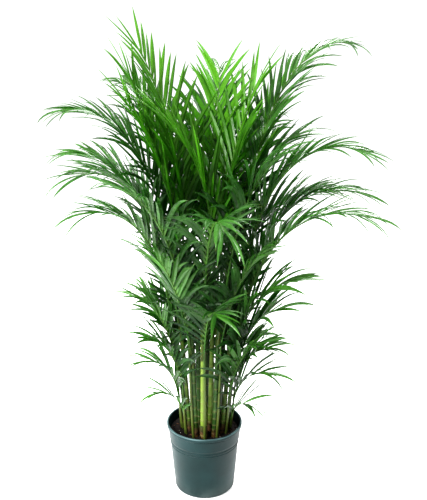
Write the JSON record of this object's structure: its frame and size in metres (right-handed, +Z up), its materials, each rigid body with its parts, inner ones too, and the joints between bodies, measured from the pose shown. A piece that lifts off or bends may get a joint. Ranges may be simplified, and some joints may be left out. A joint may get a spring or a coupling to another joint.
{
  "type": "potted palm",
  "caption": "Areca palm: a clump of slim yellow-green canes with feathery arching fronds, rooted in soil in a dark tapered nursery pot with a lipped rim.",
  "frame": {"origin": "centre of the pot's foot, on the plane it stands on", "axes": "+Z up along the pot's axis; -Y is the plant's front, +X its right-hand side seen from the front"},
  "size_m": [1.0695, 1.0176, 1.4717],
  "materials": {
    "pot": "dark slate green-grey, slightly satin moulded plastic",
    "soil": "dark damp potting soil, rough and crumbly",
    "cane": "yellow-green, smooth and slightly waxy, ringed",
    "crown_leaf": "fresh light green, satin",
    "arching_leaf": "deep green with a bluish sheen, satin",
    "low_leaf": "mid green, satin"
  },
  "bodies": {
    "root": {"nursery_pot": "pot", "potting_soil": "soil", "cane_01": "cane", "cane_02": "cane", "cane_03": "cane", "cane_04": "cane", "cane_05": "cane", "cane_06": "cane", "cane_07": "cane", "cane_08": "cane", "cane_09": "cane", "cane_10": "cane", "cane_11": "cane", "cane_12": "cane", "cane_13": "cane", "cane_14": "cane", "cane_15": "cane", "cane_16": "cane", "frond_01": "crown_leaf", "frond_02": "crown_leaf", "frond_03": "crown_leaf", "frond_04": "crown_leaf", "frond_05": "crown_leaf", "frond_06": "crown_leaf", "frond_07": "crown_leaf", "frond_08": "arching_leaf", "frond_09": "arching_leaf", "frond_10": "arching_leaf", "frond_11": "arching_leaf", "frond_12": "arching_leaf", "frond_13": "arching_leaf", "frond_14": "arching_leaf", "frond_15": "arching_leaf", "frond_16": "arching_leaf", "frond_17": "arching_leaf", "frond_18": "arching_leaf", "frond_19": "arching_leaf", "frond_20": "arching_leaf", "frond_21": "arching_leaf", "frond_22": "arching_leaf", "frond_23": "arching_leaf", "frond_24": "arching_leaf", "frond_25": "low_leaf", "frond_26": "low_leaf", "frond_27": "low_leaf", "frond_28": "low_leaf", "frond_29": "low_leaf", "frond_30": "low_leaf", "frond_31": "low_leaf", "frond_32": "low_leaf", "frond_33": "low_leaf", "frond_34": "low_leaf", "frond_35": "low_leaf", "frond_36": "low_leaf", "frond_37": "low_leaf", "frond_38": "low_leaf", "frond_39": "low_leaf", "frond_40": "low_leaf", "frond_41": "low_leaf", "frond_42": "low_leaf"}
  },
  "joints": []
}
